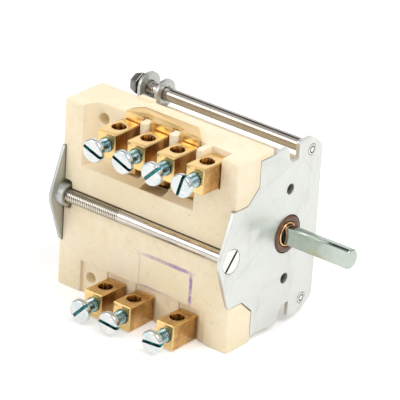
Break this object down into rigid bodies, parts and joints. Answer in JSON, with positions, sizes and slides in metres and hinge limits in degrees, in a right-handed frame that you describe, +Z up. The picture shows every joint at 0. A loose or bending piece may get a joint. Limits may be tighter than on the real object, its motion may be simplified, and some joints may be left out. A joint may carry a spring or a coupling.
{
  "type": "rotary heat control switch",
  "caption": "Rotary cam switch for a cooker's heat: ceramic body clamped between two steel plates, brass screw terminals, D-shaped shaft.",
  "frame": {"origin": "where the shaft's axis meets the front face of the mounting plate, the face that lies against the panel", "axes": "+X out along the shaft, -Y the side with the terminals, +Z up along the ceramic body's height"},
  "size_m": [0.0878, 0.0545, 0.0598],
  "materials": {
    "ceramic": "pressed, unglazed",
    "galvanised_steel": "galvanised sheet",
    "bright_steel": "bright drawn",
    "zinc_steel": "blue zinc plate",
    "dark_steel": "black oxide",
    "brass": "machined",
    "spring_bronze": "rolled",
    "brown_fibre": "pressed fibre",
    "cam_resin": "moulded",
    "steatite": "pressed"
  },
  "bodies": {
    "switch_body": {"housing": "ceramic", "mounting_plate": "galvanised_steel", "rear_clamp_plate": "galvanised_steel", "upper_front_washer": "galvanised_steel", "lower_front_washer": "galvanised_steel", "upper_corner_rod": "bright_steel", "lower_corner_rod": "bright_steel", "front_tie_bolt": "zinc_steel", "upper_cone_washer": "dark_steel", "lower_cone_washer": "dark_steel", "upper_rod_nut": "dark_steel", "lower_rod_nut": "dark_steel", "shaft_bush": "brass", "link_strip": "brass", "fixed_contact": "brass", "terminal_block_1": "brass", "terminal_block_2": "brass", "terminal_block_3": "brass", "terminal_block_4": "brass", "terminal_block_5": "brass", "terminal_block_6": "brass", "terminal_block_7": "brass", "contact_leaf_1": "spring_bronze", "contact_leaf_2": "spring_bronze", "contact_leaf_3": "spring_bronze", "detent_spring": "spring_bronze", "bush_ring": "brown_fibre", "pusher_guide": "brown_fibre"},
    "shaft_assembly": {"shaft": "bright_steel", "shaft_clip": "bright_steel", "detent_wheel": "dark_steel", "cam_1": "cam_resin", "cam_2": "cam_resin", "cam_3": "cam_resin", "cam_4": "cam_resin", "rear_sleeve": "bright_steel"},
    "screw_1": {"terminal_screw_1": "zinc_steel"},
    "screw_2": {"terminal_screw_2": "zinc_steel"},
    "screw_3": {"terminal_screw_3": "zinc_steel"},
    "screw_4": {"terminal_screw_4": "zinc_steel"},
    "screw_5": {"terminal_screw_5": "zinc_steel"},
    "screw_6": {"terminal_screw_6": "zinc_steel"},
    "screw_7": {"terminal_screw_7": "zinc_steel"},
    "push_pin_1": {"pusher_1": "steatite"},
    "push_pin_2": {"pusher_2": "steatite"},
    "push_pin_3": {"pusher_3": "steatite"},
    "push_pin_4": {"pusher_4": "steatite"}
  },
  "joints": [
    {"name": "shaft_turn", "type": "hinge", "parent": "switch_body", "child": "shaft_assembly", "pos_m": [0, 0, 0], "axis": [-1, 0, 0], "range_deg": [0, 270]},
    {"name": "screw_1_travel", "type": "slide", "parent": "switch_body", "child": "screw_1", "axis": [0, 1, 0], "range_m": [-0.0015, 0.0025]},
    {"name": "screw_2_travel", "type": "slide", "parent": "switch_body", "child": "screw_2", "axis": [0, 1, 0], "range_m": [-0.0015, 0.0025]},
    {"name": "screw_3_travel", "type": "slide", "parent": "switch_body", "child": "screw_3", "axis": [0, 1, 0], "range_m": [-0.0015, 0.0025]},
    {"name": "screw_4_travel", "type": "slide", "parent": "switch_body", "child": "screw_4", "axis": [0, 1, 0], "range_m": [-0.0015, 0.0025]},
    {"name": "screw_5_travel", "type": "slide", "parent": "switch_body", "child": "screw_5", "axis": [0, 1, 0], "range_m": [-0.0015, 0.0025]},
    {"name": "screw_6_travel", "type": "slide", "parent": "switch_body", "child": "screw_6", "axis": [0, 1, 0], "range_m": [-0.0015, 0.0025]},
    {"name": "screw_7_travel", "type": "slide", "parent": "switch_body", "child": "screw_7", "axis": [0, 1, 0], "range_m": [-0.0015, 0.0025]},
    {"name": "push_pin_1_travel", "type": "slide", "parent": "switch_body", "child": "push_pin_1", "axis": [0, -1, 0], "range_m": [-0.0012, 0]},
    {"name": "push_pin_2_travel", "type": "slide", "parent": "switch_body", "child": "push_pin_2", "axis": [0, -1, 0], "range_m": [-0.0012, 0]},
    {"name": "push_pin_3_travel", "type": "slide", "parent": "switch_body", "child": "push_pin_3", "axis": [0, -1, 0], "range_m": [-0.0012, 0]},
    {"name": "push_pin_4_travel", "type": "slide", "parent": "switch_body", "child": "push_pin_4", "axis": [0, -1, 0], "range_m": [-0.0012, 0]}
  ]
}
